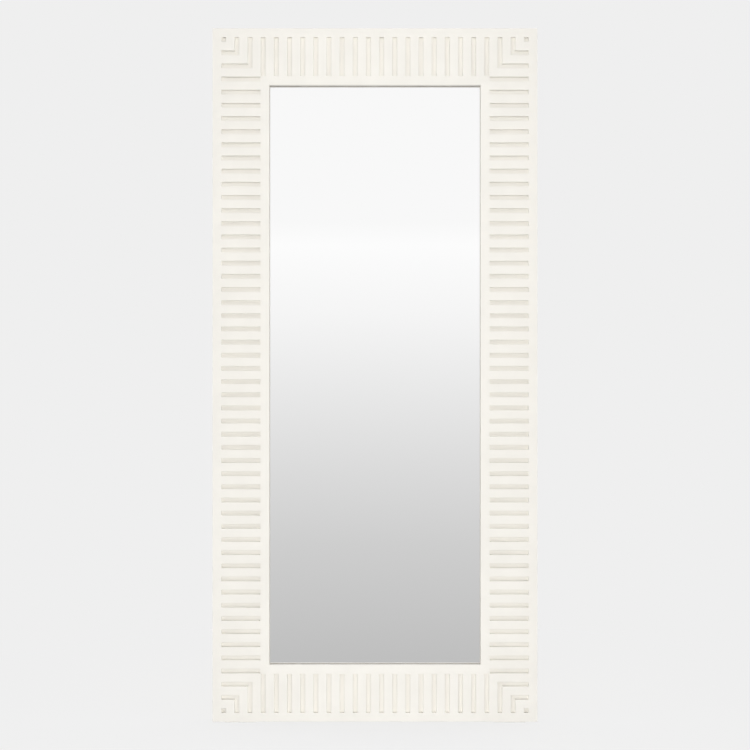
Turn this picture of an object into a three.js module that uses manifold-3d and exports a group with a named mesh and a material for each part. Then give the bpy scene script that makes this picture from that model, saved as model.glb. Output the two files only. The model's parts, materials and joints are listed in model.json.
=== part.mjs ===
// Full-length leaning floor mirror: a wide white lacquered frame with a ribbed face, silvered glass,
// a ply back held by turn buttons, and two D-ring wall hangers.
// Millimetres. +X right, +Y to the back, +Z up. The origin is the middle of the footprint, at the floor.
import * as THREE from "three";
import { mergeVertices } from "three/addons/utils/BufferGeometryUtils.js";
import Module from "manifold-3d";

const wasm = await Module();
wasm.setup();

// ---------- Driving dimensions ----------

// Overall frame
const frameWidth = 938;
const frameHeight = 2002;
const seatGap = 0.25; // left between any two pieces that bear on each other

// Ribbed face
const ribWidth = 26; // also the width of the plain borders inside and outside the grooves
const grooveWidth = 12;
const grooveDepth = 12;
const grooveFloor = 5; // wood left under the grooves
const cornerGrooves = 3; // grooves at each end that meet the next member's on the mitre
const cornerNeck = 2; // wood left between the ends of the first straight grooves of two members

// Mitre keys inside the face frame's corners
const keyLength = 70;
const keyWidth = 30;
const keyThickness = 2.4;

// Glass and what packs it, front to back
const glassThickness = 5;
const glassOverlap = 12; // how far the glass runs behind the face on each side
const glassEdgeSpace = 3; // between the glass edge and the back frame
const tapeThickness = 1.5;
const tapeWidth = 9;
const tapeSetBack = 0.5; // from the sight edge
const filmThickness = 0.4;
const filmMargin = 2;
const foamThickness = 2.5;
const boardThickness = 9;
const boardSpace = 1.5; // around the board, inside the back frame
const boardRecess = 0.35; // the board lies just below the frame's back

// Blocks between the glass edge and the back frame
const blockLength = 80;
const settingBlockInset = 150; // from the glass corner to the middle of the block
const sideBlockInset = 300;

// Turn buttons
const buttonLength = 40;
const buttonWidth = 14;
const buttonThickness = 1.8;
const buttonHoleRadius = 2.2;
const buttonScrewFromEdge = 12; // from the opening in the back frame to the screw
const buttonEndInset = 150; // from the opening's ends to the outer buttons

// Wood screws
const screwHeadRadius = 4;
const screwHeadHeight = 2.4;
const screwShankRadius = 1.9;
const screwTipLength = 4;
const screwClearance = 0.3;
const buttonScrewLength = 14;
const hangerScrewLength = 16;

// D-ring hangers
const ringWireRadius = 1.75;
const ringPlay = 0.4; // between the ring's bar and its knuckle
const ringLegLength = 10;
const strapWidth = 22;
const strapThickness = 1.5;
const strapLength = 80;
const strapHoleRadius = 2.3;
const strapHoles = [36, 53, 70]; // below the ring's pivot
const ringSideSpace = 0.5; // between the strap's edge and the ring's legs
const hangerDrop = 440; // from the top of the frame to the ring's pivot

// Wall bumpers
const bumperBaseRadius = 12.5;
const bumperTopRadius = 10.5;
const bumperProud = 0.75; // past the hangers, so that nothing else meets the wall
const bumperInset = 38; // from the frame's edges to the bumper's middle

// Feet
const footPadLength = 90;
const footPadDepth = 32;
const footPadHeight = 2;
const footPadInset = 80; // from the frame's side to the pad's middle

// Corner plates on the back
const plateLeg = 125;
const plateWidth = 22;
const plateThickness = 2;
const plateHoleRadius = 2.3;
const plateHoleInsets = [14, 64]; // from the end of each leg
const plateSideInset = 110; // from the frame's side to the plate's outer corner
const plateEndInset = 64; // from the frame's top or bottom to the plate's outer corner

// ---------- Worked-out dimensions ----------

const pitch = ribWidth + grooveWidth;
const faceThickness = grooveDepth + grooveFloor;
const grooveLength = cornerGrooves * pitch - cornerNeck;
const memberWidth = ribWidth + grooveLength + ribWidth;
const sightWidth = frameWidth - 2 * memberWidth;
const sightHeight = frameHeight - 2 * memberWidth;
const glassWidth = sightWidth + 2 * glassOverlap;
const glassHeight = sightHeight + 2 * glassOverlap;
const rabbetWidth = glassOverlap + glassEdgeSpace;
const backMemberWidth = memberWidth - rabbetWidth;
const openingWidth = sightWidth + 2 * rabbetWidth;
const openingHeight = sightHeight + 2 * rabbetWidth;

// Depths from the front face
const keyFront = grooveDepth + (grooveFloor - keyThickness) / 2;
const backFrameFront = faceThickness + seatGap;
const tapeFront = faceThickness + seatGap;
const glassFront = tapeFront + tapeThickness + seatGap;
const filmFront = glassFront + glassThickness + seatGap;
const foamFront = filmFront + filmThickness + seatGap;
const boardFront = foamFront + foamThickness + seatGap;
const frameDepth = boardFront + boardThickness + boardRecess;

const knuckleBore = ringWireRadius + ringPlay;
const knuckleRadius = knuckleBore + strapThickness;
const pivotHeight = seatGap + knuckleRadius; // of the ring's bar above the frame's back
const bumperHeight = seatGap + 2 * knuckleRadius + bumperProud;
const ringLegX = strapWidth / 2 + ringSideSpace + ringWireRadius;

const totalDepth = frameDepth + bumperHeight;
const frontY = -totalDepth / 2;
const backY = frontY + frameDepth;
const bottomZ = footPadHeight;
const topZ = bottomZ + frameHeight;
const middleZ = bottomZ + frameHeight / 2;

// ---------- Materials ----------

const paint = (color, roughness, metalness) =>
  new THREE.MeshStandardMaterial({ color, roughness, metalness });
const lacquer = paint(0xf3efe4, 0.38, 0);
const poplar = paint(0xd9c7a0, 0.7, 0);
const beech = paint(0xcaa56f, 0.6, 0);
const plywood = paint(0xcfae7c, 0.75, 0);
const silveredGlass = paint(0xe6ebea, 0.02, 1);
const blackFoam = paint(0x1c1c1d, 0.9, 0);
const blueFilm = paint(0x7f97a8, 0.5, 0);
const whiteFoam = paint(0xe9e9e6, 0.9, 0);
const neoprene = paint(0x262626, 0.85, 0);
const zincSteel = paint(0xb9bcbe, 0.35, 1);
const blackRubber = paint(0x232324, 0.8, 0);
const greyRubber = paint(0xd4d2cc, 0.85, 0);

// ---------- Helpers ----------

const model = new THREE.Group();

const solidOf = (geometry) => {
  const bare = geometry.clone();
  bare.deleteAttribute("normal");
  bare.deleteAttribute("uv");
  const merged = mergeVertices(bare, 1e-4);
  return new wasm.Manifold(
    new wasm.Mesh({
      numProp: 3,
      vertProperties: merged.attributes.position.array,
      triVerts: new Uint32Array(merged.index.array),
    }),
  );
};

const geometryOf = (solid) => {
  const mesh = solid.getMesh();
  const geometry = new THREE.BufferGeometry();
  geometry.setAttribute("position", new THREE.BufferAttribute(mesh.vertProperties, 3));
  geometry.setIndex(new THREE.BufferAttribute(mesh.triVerts, 1));
  geometry.computeVertexNormals();
  return geometry;
};

const cut = (geometry, cutters) =>
  geometryOf(cutters.reduce((left, cutter) => left.subtract(solidOf(cutter)), solidOf(geometry)));

const join = (geometries) => geometryOf(geometries.map(solidOf).reduce((a, b) => a.add(b)));

const addPiece = (name, geometry, material, x, y, z, turnY = 0) => {
  const mesh = new THREE.Mesh(geometry, material);
  mesh.name = name;
  mesh.position.set(x, y, z);
  mesh.rotation.y = turnY;
  model.add(mesh);
  return mesh;
};

// A flat plate from an outline drawn in X and Z, with its front at y = 0.
const plateOf = (shape, thickness, curveSegments = 12) =>
  new THREE.ExtrudeGeometry(shape, { depth: thickness, bevelEnabled: false, curveSegments })
    .rotateX(Math.PI / 2)
    .translate(0, thickness, 0);

// A box between two corners.
const boxBetween = (x0, x1, y0, y1, z0, z1) =>
  new THREE.BoxGeometry(x1 - x0, y1 - y0, z1 - z0).translate((x0 + x1) / 2, (y0 + y1) / 2, (z0 + z1) / 2);

// A round bar along Y.
const pinAt = (radius, y0, y1, x, z, sides = 16) =>
  new THREE.CylinderGeometry(radius, radius, y1 - y0, sides).translate(x, (y0 + y1) / 2, z);

// The four sides of the frame. Each member is made with its outer edge on local x = 0, its inner edge
// towards +x, its front at y = 0 and its length along z, and is then turned about Y into place.
const sides = [
  { name: "stile_left", length: frameHeight, x: -frameWidth / 2, z: middleZ, turn: 0 },
  { name: "stile_right", length: frameHeight, x: frameWidth / 2, z: middleZ, turn: Math.PI },
  { name: "rail_bottom", length: frameWidth, x: 0, z: bottomZ, turn: -Math.PI / 2 },
  { name: "rail_top", length: frameWidth, x: 0, z: topZ, turn: Math.PI / 2 },
];

// ---------- Face frame ----------

// Where each groove starts along a member of this length. The first few from either corner keep the
// exact pitch, so that the grooves of two members meet on the mitre; the rest share what is left.
const grooveStarts = (length) => {
  const first = ribWidth + cornerGrooves * pitch;
  const last = length - first - grooveWidth;
  const spaces = Math.round((last - first) / pitch);
  const starts = [];
  for (let i = 0; i < cornerGrooves; i++) {
    starts.push(ribWidth + i * pitch, length - ribWidth - i * pitch - grooveWidth);
  }
  for (let i = 0; i <= spaces; i++) starts.push(first + ((last - first) * i) / spaces);
  return starts;
};

const keySlot = (endZ) =>
  new THREE.BoxGeometry(keyLength + 2 * seatGap, keyThickness + 2 * seatGap, keyWidth + 2 * seatGap)
    .rotateY((Math.sign(endZ) * Math.PI) / 4)
    .translate(memberWidth / 2, keyFront + keyThickness / 2, endZ - (Math.sign(endZ) * memberWidth) / 2);

const faceMember = (length) => {
  const half = length / 2;
  const mitreGap = seatGap * Math.SQRT1_2;
  const outline = new THREE.Shape();
  outline.moveTo(0, -half + mitreGap);
  outline.lineTo(memberWidth, -half + memberWidth + mitreGap);
  outline.lineTo(memberWidth, half - memberWidth - mitreGap);
  outline.lineTo(0, half - mitreGap);
  outline.closePath();
  const grooves = grooveStarts(length).map((start) =>
    boxBetween(
      ribWidth, ribWidth + grooveLength, -1, grooveDepth, -half + start, -half + start + grooveWidth,
    ),
  );
  return cut(plateOf(outline, faceThickness), [...grooves, keySlot(half), keySlot(-half)]);
};

for (const side of sides) {
  addPiece("face_" + side.name, faceMember(side.length), lacquer, side.x, frontY, side.z, side.turn);
}

const corners = [
  { name: "bottom_left", x: -1, z: -1 },
  { name: "bottom_right", x: 1, z: -1 },
  { name: "top_left", x: -1, z: 1 },
  { name: "top_right", x: 1, z: 1 },
];

for (const corner of corners) {
  addPiece(
    "mitre_key_" + corner.name,
    new THREE.BoxGeometry(keyLength, keyThickness, keyWidth),
    beech,
    corner.x * (frameWidth / 2 - memberWidth / 2),
    frontY + keyFront + keyThickness / 2,
    middleZ + corner.z * (frameHeight / 2 - memberWidth / 2),
    (-corner.x * corner.z * Math.PI) / 4,
  );
}

// ---------- Screw places on the back frame ----------

// Three down each stile. A button points from its screw towards the middle of the mirror.
const buttonX = openingWidth / 2 + buttonScrewFromEdge;
const buttonRise = openingHeight / 2 - buttonEndInset;
const buttons = [["left", -1, 0], ["right", 1, Math.PI]].flatMap(([name, side, turn]) => [
  { name: name + "_top", x: side * buttonX, z: middleZ + buttonRise, turn },
  { name: name + "_middle", x: side * buttonX, z: middleZ, turn },
  { name: name + "_bottom", x: side * buttonX, z: middleZ - buttonRise, turn },
]);

const hangerZ = topZ - hangerDrop;
const hangers = [
  { name: "left", x: -(frameWidth - backMemberWidth) / 2 },
  { name: "right", x: (frameWidth - backMemberWidth) / 2 },
];

// ---------- Back frame ----------

// Pilot holes for the screws, in the model's own frame, from the back.
const pilotHole = (x, z, length) =>
  pinAt(screwShankRadius + screwClearance, backY - length - 1, backY + 1, x, z);

const buttonPilots = buttons.map((b) => pilotHole(b.x, b.z, buttonScrewLength));
const hangerPilots = hangers.flatMap((h) =>
  strapHoles.map((drop) => pilotHole(h.x, hangerZ - drop, hangerScrewLength)),
);
const pilots = [...buttonPilots, ...hangerPilots];

const backBoard = (x0, x1, z0, z1) => {
  const board = boxBetween(x0, x1, frontY + backFrameFront, backY, z0, z1);
  board.computeBoundingBox();
  const within = (hole) => {
    hole.computeBoundingBox();
    return board.boundingBox.intersectsBox(hole.boundingBox);
  };
  return cut(board, pilots.filter(within));
};

const outerX = frameWidth / 2;
const innerX = openingWidth / 2;
const railX = innerX - seatGap;
addPiece("back_stile_left", backBoard(-outerX, -innerX, bottomZ, topZ), poplar, 0, 0, 0);
addPiece("back_stile_right", backBoard(innerX, outerX, bottomZ, topZ), poplar, 0, 0, 0);
addPiece("back_rail_bottom", backBoard(-railX, railX, bottomZ, bottomZ + backMemberWidth), poplar, 0, 0, 0);
addPiece("back_rail_top", backBoard(-railX, railX, topZ - backMemberWidth, topZ), poplar, 0, 0, 0);

// ---------- Glass and its packing ----------

const addSheet = (name, width, height, front, thickness, material) =>
  addPiece(
    name, new THREE.BoxGeometry(width, thickness, height), material,
    0, frontY + front + thickness / 2, middleZ,
  );

// The tape is laid in four strips: two full-height ones, and two between them.
const addTape = (name, width, height, x, z) =>
  addPiece(
    "glazing_tape_" + name, new THREE.BoxGeometry(width, tapeThickness, height), blackFoam,
    x, frontY + tapeFront + tapeThickness / 2, middleZ + z,
  );

const tapeX = sightWidth / 2 + tapeSetBack + tapeWidth / 2;
const tapeZ = sightHeight / 2 + tapeSetBack + tapeWidth / 2;
const tapeBetween = 2 * tapeX - tapeWidth - 2 * seatGap;
addTape("left", tapeWidth, 2 * tapeZ + tapeWidth, -tapeX, 0);
addTape("right", tapeWidth, 2 * tapeZ + tapeWidth, tapeX, 0);
addTape("bottom", tapeBetween, tapeWidth, 0, -tapeZ);
addTape("top", tapeBetween, tapeWidth, 0, tapeZ);

addSheet("mirror_glass", glassWidth, glassHeight, glassFront, glassThickness, silveredGlass);
addSheet(
  "safety_film", glassWidth - 2 * filmMargin, glassHeight - 2 * filmMargin,
  filmFront, filmThickness, blueFilm,
);
addSheet("foam_sheet", glassWidth, glassHeight, foamFront, foamThickness, whiteFoam);
addSheet(
  "backing_board", openingWidth - 2 * boardSpace, openingHeight - 2 * boardSpace,
  boardFront, boardThickness, plywood,
);

// Blocks carry the glass on the bottom rail and keep it off the stiles.
const blockThickness = glassEdgeSpace - 2 * seatGap;
const blockDepth = glassThickness;
const blockY = frontY + glassFront + glassThickness / 2;
for (const [name, side] of [["left", -1], ["right", 1]]) {
  addPiece(
    "setting_block_" + name,
    new THREE.BoxGeometry(blockLength, blockDepth, blockThickness),
    neoprene,
    side * (glassWidth / 2 - settingBlockInset), blockY, middleZ - (glassHeight + glassEdgeSpace) / 2,
  );
  for (const [end, up] of [["lower", -1], ["upper", 1]]) {
    addPiece(
      "side_block_" + name + "_" + end,
      new THREE.BoxGeometry(blockThickness, blockDepth, blockLength),
      neoprene,
      (side * (glassWidth + glassEdgeSpace)) / 2, blockY, middleZ + up * (glassHeight / 2 - sideBlockInset),
    );
  }
}

// ---------- Screws ----------

// A pan-head wood screw along Y, with the underside of its head at y = 0 and its tip to the front.
const woodScrew = (length) => {
  const profile = new THREE.Path();
  profile.moveTo(0, -length);
  profile.lineTo(screwShankRadius, -length + screwTipLength);
  profile.lineTo(screwShankRadius, 0);
  profile.lineTo(screwHeadRadius, 0);
  profile.lineTo(screwHeadRadius, screwHeadHeight * 0.4);
  profile.quadraticCurveTo(screwHeadRadius * 0.9, screwHeadHeight, 0, screwHeadHeight);
  return new THREE.LatheGeometry(profile.getPoints(4), 12);
};

// ---------- Turn buttons ----------

// The button reaches from its screw towards +x, and lies on the frame's back and over the board.
const turnButton = () => {
  const end = buttonWidth / 2; // radius of the rounded ends
  const outline = new THREE.Shape();
  outline.absarc(0, 0, end, Math.PI / 2, (3 * Math.PI) / 2, false);
  outline.absarc(buttonLength - 2 * end, 0, end, -Math.PI / 2, Math.PI / 2, false);
  outline.closePath();
  const hole = new THREE.Path();
  hole.absarc(0, 0, buttonHoleRadius, 0, 2 * Math.PI, true);
  outline.holes.push(hole);
  return plateOf(outline, buttonThickness, 7);
};

for (const button of buttons) {
  const buttonY = backY + seatGap;
  const headY = buttonY + buttonThickness + seatGap;
  const name = button.name;
  addPiece("turn_button_" + name, turnButton(), zincSteel, button.x, buttonY, button.z, button.turn);
  addPiece("button_screw_" + name, woodScrew(buttonScrewLength), zincSteel, button.x, headY, button.z);
}

// ---------- D-ring hangers ----------

// The line through the middle of the ring's wire: down one leg, round the bow and up the other.
class RingBow extends THREE.Curve {
  getPoint(t, target = new THREE.Vector3()) {
    const bow = Math.PI * ringLegX;
    const along = t * (2 * ringLegLength + bow);
    if (along < ringLegLength) return target.set(-ringLegX, 0, -along);
    if (along > ringLegLength + bow) {
      return target.set(ringLegX, 0, along - 2 * ringLegLength - bow);
    }
    const angle = (along - ringLegLength) / ringLegX;
    return target.set(-ringLegX * Math.cos(angle), 0, -ringLegLength - ringLegX * Math.sin(angle));
  }
}

const dRing = () => {
  const section = new THREE.Shape().absarc(0, 0, ringWireRadius, 0, 2 * Math.PI, false);
  const bow = new THREE.ExtrudeGeometry(section, {
    steps: 22, extrudePath: new RingBow(), bevelEnabled: false, curveSegments: 5,
  });
  const bar = new THREE.CylinderGeometry(ringWireRadius, ringWireRadius, 2 * ringLegX, 12)
    .rotateZ(Math.PI / 2);
  const elbow = (x) => new THREE.SphereGeometry(ringWireRadius, 12, 8).translate(x, 0, 0);
  return join([bow, bar, elbow(-ringLegX), elbow(ringLegX)]);
};

// The strap hangs below its knuckle, which wraps the ring's bar. The pivot is the local origin.
const hangerStrap = () => {
  const strapBack = -pivotHeight + seatGap;
  const strap = boxBetween(
    -strapWidth / 2, strapWidth / 2, strapBack, strapBack + strapThickness, -strapLength, 0,
  );
  const roll = (radius, width) =>
    new THREE.CylinderGeometry(radius, radius, width, 20).rotateZ(Math.PI / 2);
  const knuckle = roll(knuckleRadius, strapWidth);
  const bore = roll(knuckleBore, strapWidth + 2);
  const holes = strapHoles.map((drop) =>
    pinAt(strapHoleRadius, strapBack - 1, strapBack + strapThickness + 1, 0, -drop),
  );
  return cut(join([strap, knuckle]), [bore, ...holes]);
};

for (const hanger of hangers) {
  const pivotY = backY + pivotHeight;
  addPiece("hanger_strap_" + hanger.name, hangerStrap(), zincSteel, hanger.x, pivotY, hangerZ);
  addPiece("hanger_ring_" + hanger.name, dRing(), zincSteel, hanger.x, pivotY, hangerZ);
  strapHoles.forEach((drop, i) => {
    const headY = backY + seatGap + strapThickness + seatGap;
    addPiece(
      "hanger_screw_" + hanger.name + "_" + (i + 1),
      woodScrew(hangerScrewLength), zincSteel, hanger.x, headY, hangerZ - drop,
    );
  });
}

// ---------- Corner plates, bumpers and feet ----------

// An L with its outer corner at the local origin, and legs along +x and +z.
const cornerPlate = () => {
  const outline = new THREE.Shape();
  outline.moveTo(0, 0);
  outline.lineTo(plateLeg, 0);
  outline.lineTo(plateLeg, plateWidth);
  outline.lineTo(plateWidth, plateWidth);
  outline.lineTo(plateWidth, plateLeg);
  outline.lineTo(0, plateLeg);
  outline.closePath();
  for (const inset of plateHoleInsets) {
    for (const [x, z] of [[plateLeg - inset, plateWidth / 2], [plateWidth / 2, plateLeg - inset]]) {
      const hole = new THREE.Path();
      hole.absarc(x, z, plateHoleRadius, 0, 2 * Math.PI, true);
      outline.holes.push(hole);
    }
  }
  return plateOf(outline, plateThickness, 8);
};

const bumper = () => {
  const tall = bumperHeight - seatGap;
  const lip = 1.2;
  const profile = new THREE.Path();
  profile.moveTo(0, 0);
  profile.lineTo(bumperBaseRadius, 0);
  profile.lineTo(bumperTopRadius, tall - lip);
  profile.quadraticCurveTo(bumperTopRadius - 0.2, tall, bumperTopRadius - lip, tall);
  profile.lineTo(0, tall);
  return new THREE.LatheGeometry(profile.getPoints(3), 24);
};

// Which turn about Y points the legs of the plate from each corner to the middle.
const plateTurns = {
  bottom_left: 0,
  bottom_right: -Math.PI / 2,
  top_left: Math.PI / 2,
  top_right: Math.PI,
};

for (const corner of corners) {
  const fromMiddle = (sideInset, endInset) => [
    corner.x * (frameWidth / 2 - sideInset),
    middleZ + corner.z * (frameHeight / 2 - endInset),
  ];
  const [plateX, plateZ] = fromMiddle(plateSideInset, plateEndInset);
  const [bumperX, bumperZ] = fromMiddle(bumperInset, bumperInset);
  const turn = plateTurns[corner.name];
  addPiece("corner_plate_" + corner.name, cornerPlate(), zincSteel, plateX, backY + seatGap, plateZ, turn);
  addPiece("bumper_" + corner.name, bumper(), blackRubber, bumperX, backY + seatGap, bumperZ);
}

for (const [name, side] of [["left", -1], ["right", 1]]) {
  const height = footPadHeight - seatGap;
  addPiece(
    "foot_pad_" + name,
    new THREE.BoxGeometry(footPadLength, footPadDepth, height),
    greyRubber,
    side * (frameWidth / 2 - footPadInset), frontY + frameDepth / 2, height / 2,
  );
}

export default model;
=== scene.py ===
# Full-length floor mirror in a wide lacquered frame with a ribbed face.
import bpy
import bmesh
import json
import math
from mathutils import Matrix, Vector

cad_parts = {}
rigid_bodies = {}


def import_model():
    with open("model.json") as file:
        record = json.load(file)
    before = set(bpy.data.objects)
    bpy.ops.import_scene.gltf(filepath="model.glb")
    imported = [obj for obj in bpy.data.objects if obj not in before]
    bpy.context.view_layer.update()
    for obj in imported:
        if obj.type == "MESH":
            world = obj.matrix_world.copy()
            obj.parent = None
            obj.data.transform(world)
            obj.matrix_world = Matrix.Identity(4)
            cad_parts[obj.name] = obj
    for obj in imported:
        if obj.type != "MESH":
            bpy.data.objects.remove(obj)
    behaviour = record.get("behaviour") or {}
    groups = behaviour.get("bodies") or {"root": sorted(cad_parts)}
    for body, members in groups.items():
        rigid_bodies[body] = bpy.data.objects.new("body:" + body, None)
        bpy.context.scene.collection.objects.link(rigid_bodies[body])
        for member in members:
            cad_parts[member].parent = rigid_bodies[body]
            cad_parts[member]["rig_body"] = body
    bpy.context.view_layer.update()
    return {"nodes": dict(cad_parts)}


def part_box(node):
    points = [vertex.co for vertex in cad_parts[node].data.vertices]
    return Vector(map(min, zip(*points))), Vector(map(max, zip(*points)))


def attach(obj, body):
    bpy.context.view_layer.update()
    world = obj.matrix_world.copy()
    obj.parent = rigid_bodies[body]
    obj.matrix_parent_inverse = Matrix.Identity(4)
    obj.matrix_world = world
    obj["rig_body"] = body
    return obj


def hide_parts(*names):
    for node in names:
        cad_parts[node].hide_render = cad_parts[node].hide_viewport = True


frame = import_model()
mm = 0.001
weldGap = 0.001 * mm
samePoint = 0.0001 * mm
sideNames = ("left", "right")
cornerNames = ("bottom_left", "bottom_right", "top_left", "top_right")
noiseBand = (0.35, 0.65)  # most of a noise texture lies between these
wideBand = (0.3, 0.7)  # nearly all of it


# small helpers shared by the pieces

def hexColour(code):
    # sRGB hex to the linear colour the shaders want
    linear = []
    for place in (0, 2, 4):
        part = int(code[place:place + 2], 16) / 255
        linear.append(part / 12.92 if part <= 0.04045 else ((part + 0.055) / 1.055) ** 2.4)
    return (*linear, 1.0)


def addNode(tree, kind, settings=None, inputs=None):
    # settings are the node's own properties; an input takes a value, or (node, output) for a link
    node = tree.nodes.new(kind)
    for key, value in (settings or {}).items():
        setattr(node, key, value)
    for key, value in (inputs or {}).items():
        if isinstance(value, tuple) and isinstance(value[0], bpy.types.Node):
            tree.links.new(value[0].outputs[value[1]], node.inputs[key])
        else:
            node.inputs[key].default_value = value
    return node


def newMaterial(name):
    material = bpy.data.materials.new(name)
    material.use_nodes = True
    material.node_tree.nodes.clear()
    return material, material.node_tree


def setRamp(node, stops):
    # stops are (place, colour); the ramp starts with two
    elements = node.color_ramp.elements
    while len(elements) < len(stops):
        elements.new(0.5)
    for element, (place, colour) in zip(elements, stops):
        element.position = place
        element.color = colour
    return node


def objectFromBmesh(name, bm, material=None):
    mesh = bpy.data.meshes.new(name)
    bm.to_mesh(mesh)
    bm.free()
    obj = bpy.data.objects.new(name, mesh)
    bpy.context.scene.collection.objects.link(obj)
    if material:
        mesh.materials.append(material)
    return obj


def plainMesh(obj):
    # bakes every modifier into an ordinary mesh and takes the modifiers off
    bpy.context.view_layer.update()
    evaluated = obj.evaluated_get(bpy.context.evaluated_depsgraph_get())
    obj.data = bpy.data.meshes.new_from_object(evaluated)
    obj.modifiers.clear()


def smoothNarrow(obj, degrees, widest):
    # eased arrises and curved facets shade smoothly, and every face broader than widest stays truly flat
    mesh = obj.data
    mesh.shade_smooth()
    mesh.set_sharp_from_angle(angle=math.radians(degrees))
    for face in mesh.polygons:
        corners = [mesh.vertices[v].co for v in face.vertices]
        longest = max((a - b).length for a, b in zip(corners, corners[1:] + corners[:1]))
        face.use_smooth = face.area / longest < widest


# in degrees: flatter than the first is one face, sharper than the second is eased, than the third drawn crisp
angles = {"flat": 1, "arris": 40, "shade": 50}


def softenedCopy(node, name, width, segments, material, widest):
    # the CAD shape with its sharp arrises eased, standing for the CAD node
    source = frame["nodes"][node]
    bm = bmesh.new()
    bm.from_mesh(source.data)
    bmesh.ops.remove_doubles(bm, verts=bm.verts, dist=weldGap)
    bmesh.ops.dissolve_limit(bm, angle_limit=math.radians(angles["flat"]), verts=bm.verts, edges=bm.edges)
    bm.normal_update()
    piece = objectFromBmesh(name, bm, material)
    bevel = piece.modifiers.new("ease", "BEVEL")
    bevel.width = width
    bevel.segments = segments
    bevel.limit_method = "ANGLE"
    bevel.angle_limit = math.radians(angles["arris"])
    plainMesh(piece)
    # the bevel overshoots by a hundredth of a millimetre at some corners
    low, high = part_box(node)
    for vert in piece.data.vertices:
        vert.co = [min(max(c, a), b) for c, a, b in zip(vert.co, low, high)]
    smoothNarrow(piece, angles["shade"], widest)
    return piece


def finishPiece(obj, body, slot, *nodes):
    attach(obj, body)
    if nodes:
        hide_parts(*nodes)


# materials

# MDF under sprayed satin lacquer: a warm white with a fine orange peel and a faintly uneven sheen
lacquer = {"light": "eeebe4", "deep": "ebe8e1", "cloud": 70 * mm, "sheen": 28 * mm, "peel": 2.2 * mm,
           "peelHeight": 0.012 * mm, "rough": (0.33, 0.43), "ior": 1.5}


def makeLacquer(name):
    material, tree = newMaterial(name)
    place = addNode(tree, "ShaderNodeTexCoord")
    cloud = addNode(tree, "ShaderNodeTexNoise", {}, {
        "Vector": (place, "Object"), "Scale": 1 / lacquer["cloud"], "Detail": 3.0})
    colour = setRamp(addNode(tree, "ShaderNodeValToRGB", {}, {"Fac": (cloud, "Fac")}), [
        (noiseBand[0], hexColour(lacquer["deep"])), (noiseBand[1], hexColour(lacquer["light"]))])
    sheen = addNode(tree, "ShaderNodeTexNoise", {}, {
        "Vector": (place, "Object"), "Scale": 1 / lacquer["sheen"], "Detail": 2.0})
    rough = addNode(tree, "ShaderNodeMapRange", {}, {
        "Value": (sheen, "Fac"), "From Min": wideBand[0], "From Max": wideBand[1],
        "To Min": lacquer["rough"][0], "To Max": lacquer["rough"][1]})
    peel = addNode(tree, "ShaderNodeTexNoise", {}, {
        "Vector": (place, "Object"), "Scale": 1 / lacquer["peel"], "Detail": 1.0})
    bump = addNode(tree, "ShaderNodeBump", {}, {
        "Height": (peel, "Fac"), "Strength": 1.0, "Distance": lacquer["peelHeight"]})
    shader = addNode(tree, "ShaderNodeBsdfPrincipled", {}, {
        "Base Color": (colour, "Color"), "Roughness": (rough, "Result"),
        "Normal": (bump, "Normal"), "IOR": lacquer["ior"]})
    addNode(tree, "ShaderNodeOutputMaterial", {}, {"Surface": (shader, "BSDF")})
    return material


# fibreboard as it comes off the saw: an even mid brown with short pale fibres, seen only behind the face
# its brown is also painted shade: on the lip's back and eased edge it darkens the line the mirror shows at
# the glass edge
rawBoardAndShade = {"light": "a98a63", "dark": "86683f", "fibre": 1.2 * mm, "nap": 0.05 * mm, "rough": 0.85}


def makeRawBoardAndShade(name):
    material, tree = newMaterial(name)
    place = addNode(tree, "ShaderNodeTexCoord")
    fibre = addNode(tree, "ShaderNodeTexNoise", {}, {
        "Vector": (place, "Object"), "Scale": 1 / rawBoardAndShade["fibre"], "Detail": 5.0, "Distortion": 1.5})
    colour = setRamp(addNode(tree, "ShaderNodeValToRGB", {}, {"Fac": (fibre, "Fac")}), [
        (noiseBand[0], hexColour(rawBoardAndShade["dark"])), (noiseBand[1], hexColour(rawBoardAndShade["light"]))])
    bump = addNode(tree, "ShaderNodeBump", {}, {
        "Height": (fibre, "Fac"), "Strength": 1.0, "Distance": rawBoardAndShade["nap"]})
    shader = addNode(tree, "ShaderNodeBsdfPrincipled", {}, {
        "Base Color": (colour, "Color"), "Roughness": rawBoardAndShade["rough"], "Normal": (bump, "Normal")})
    addNode(tree, "ShaderNodeOutputMaterial", {}, {"Surface": (shader, "BSDF")})
    return material


# planed boards: long fibres in streaks, with broader growth bands that wander along the board
timber = {
    # planed poplar: pale greenish cream with soft straight streaks
    "poplar": {"pale": "dccca6", "dark": "bfa878", "band": 14 * mm, "fibre": 0.9 * mm, "stretch": 40,
               "rough": 0.62, "sprayed": True},
    # planed beech: pinkish brown with short flecks
    "beech": {"pale": "d2a877", "dark": "b98a58", "band": 9 * mm, "fibre": 0.6 * mm, "stretch": 12,
              "rough": 0.55, "sprayed": False},
    # sanded birch veneer, peeled from the log: warm and pale, with a broad wandering figure
    "birch plywood": {"pale": "dcc396", "dark": "c4a26c", "band": 55 * mm, "fibre": 1.1 * mm, "stretch": 22,
                      "rough": 0.6, "sprayed": False},
}
# what every board shares: the grain's slant in degrees, how much of it is fibre, and the fibres' height
grainLook = {"slant": 0.6, "fibreShare": 0.35, "height": 0.03 * mm, "ramp": (0.38, 0.58), "ior": 1.5}
# white lacquer that drifted a few millimetres round onto the back
overspray = {"ragged": 6 * mm, "wander": 9 * mm, "solid": -4 * mm, "clear": 3 * mm}


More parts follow.
